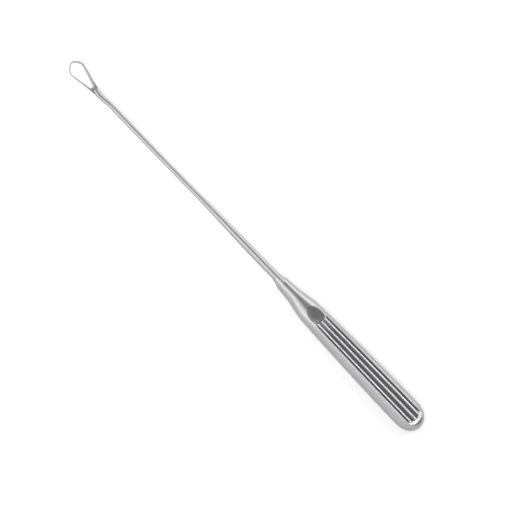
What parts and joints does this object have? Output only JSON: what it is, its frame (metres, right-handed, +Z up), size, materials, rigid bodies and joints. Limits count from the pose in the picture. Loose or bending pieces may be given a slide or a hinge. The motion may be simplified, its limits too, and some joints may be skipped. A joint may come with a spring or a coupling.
{
  "type": "uterine curette",
  "caption": "Long steel hand instrument with an open bevelled loop, a slender malleable shank and a hollow fluted handle with thumb rests.",
  "frame": {"origin": "centre of the box that the curette fills, at the level of the surface that it lies on", "axes": "+X runs from the loop to the butt of the handle, +Z points up out of the front face, +Y points across the handle"},
  "size_m": [0.2802, 0.0174, 0.0108],
  "materials": {
    "satin_steel": "satin, with fine grain along the instrument"
  },
  "bodies": {
    "root": {"loop_and_shank": "satin_steel", "handle": "satin_steel"}
  },
  "joints": []
}
